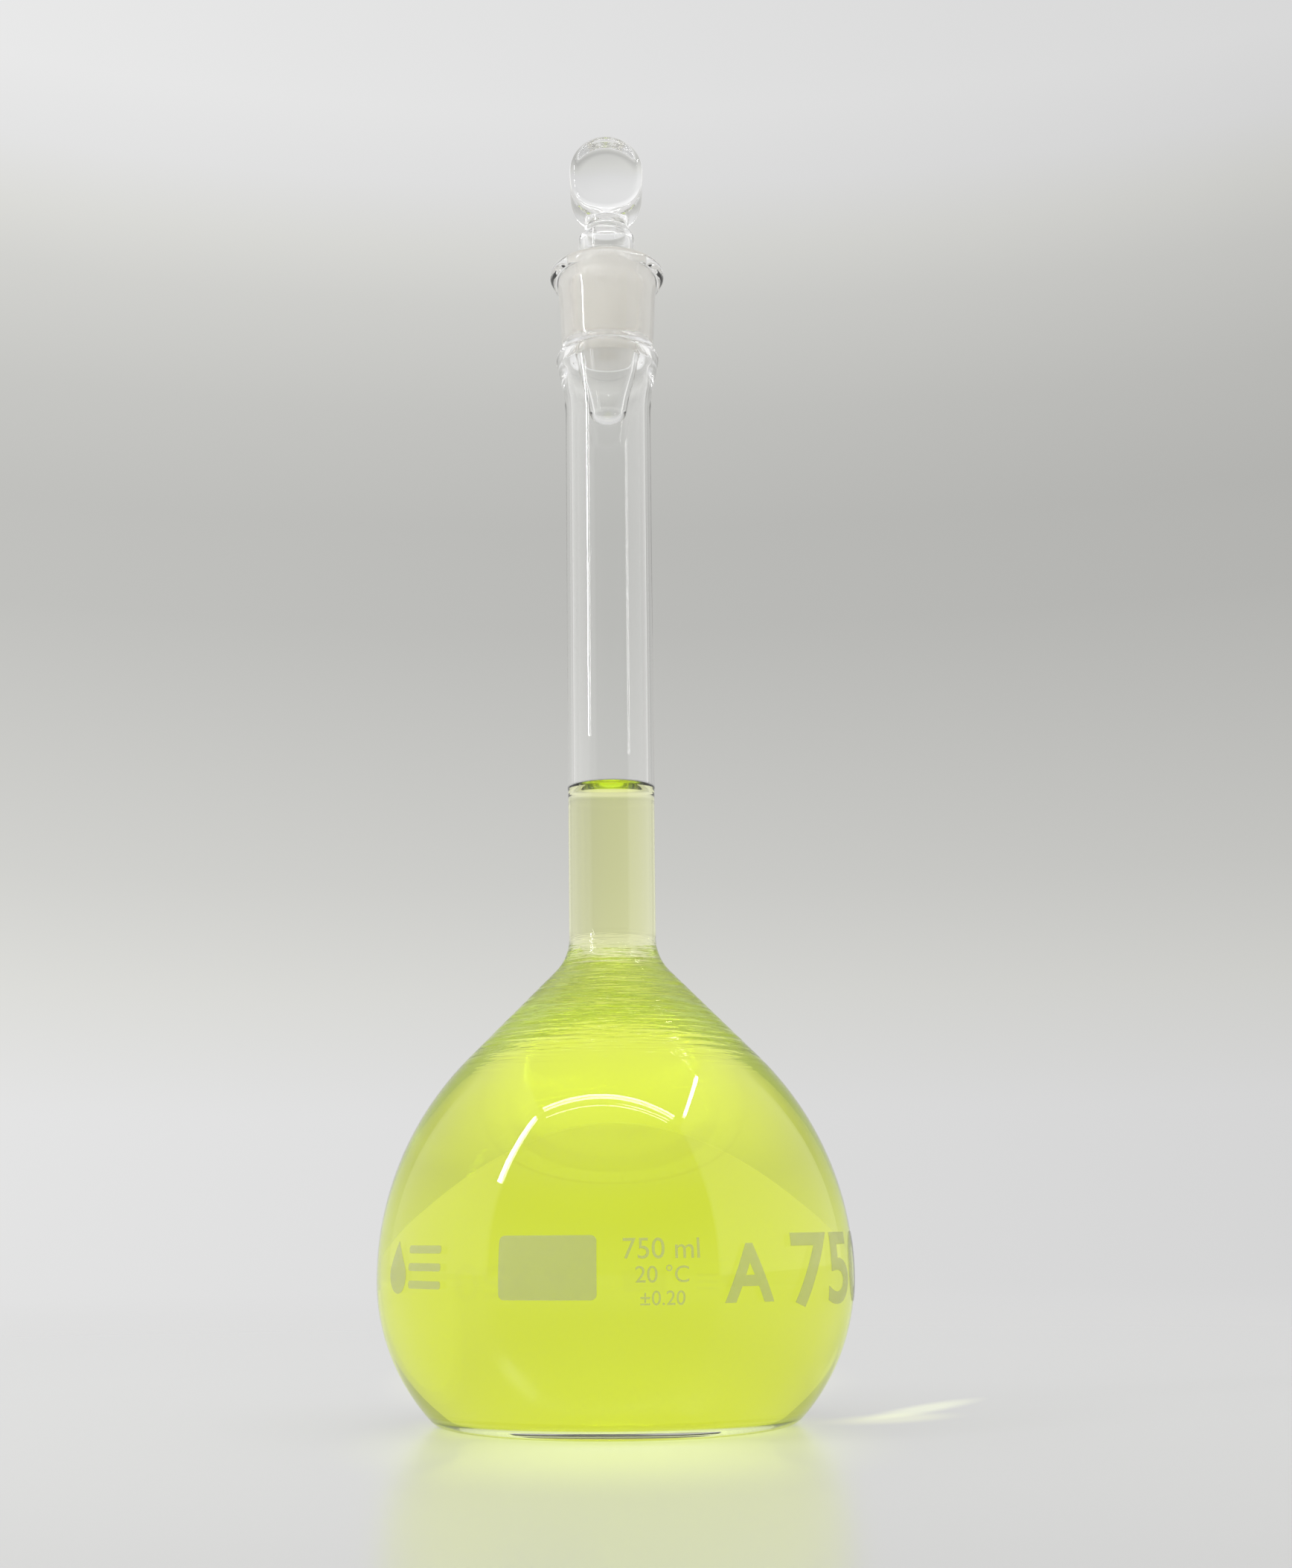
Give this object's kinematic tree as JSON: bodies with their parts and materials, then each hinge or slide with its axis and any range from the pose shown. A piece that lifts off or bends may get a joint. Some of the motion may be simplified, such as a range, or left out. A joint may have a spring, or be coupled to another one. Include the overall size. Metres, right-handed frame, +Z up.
{
  "type": "volumetric flask",
  "caption": "Glass volumetric flask with a flat-based round bulb, a long narrow marked neck and a ground stopper that lifts and turns, filled with solution to the mark.",
  "frame": {"origin": "on the neck axis, in the plane that the base stands on", "axes": "+Z up along the neck; the printed front faces -Y, so +X is to the right of someone who reads it"},
  "size_m": [0.1165, 0.1167, 0.326],
  "materials": {
    "clear_glass": "fire-polished clear borosilicate, ground on the inside of the socket",
    "stopper_glass": "clear pressed head, finely ground plug",
    "solution": "clear bright yellow-green liquid",
    "enamel": "fired translucent grey-white enamel"
  },
  "bodies": {
    "flask": {"bulb": "clear_glass", "neck_tube": "clear_glass", "ground_socket": "clear_glass", "solution": "solution", "graduation_ring": "enamel", "writing_patch": "enamel", "volume_text": "enamel", "class_mark": "enamel", "capacity_numerals": "enamel", "maker_mark": "enamel"},
    "stopper_plug": {"stopper_plug": "stopper_glass"},
    "stopper_head": {"stopper_head": "stopper_glass"}
  },
  "joints": [
    {"name": "stopper_lift", "type": "slide", "parent": "flask", "child": "stopper_plug", "axis": [0, 0, 1], "range_m": [0, 0.06]},
    {"name": "stopper_turn", "type": "hinge", "parent": "stopper_plug", "child": "stopper_head", "pos_m": [0, 0, 0.297], "axis": [0, 0, 1], "continuous": true}
  ]
}
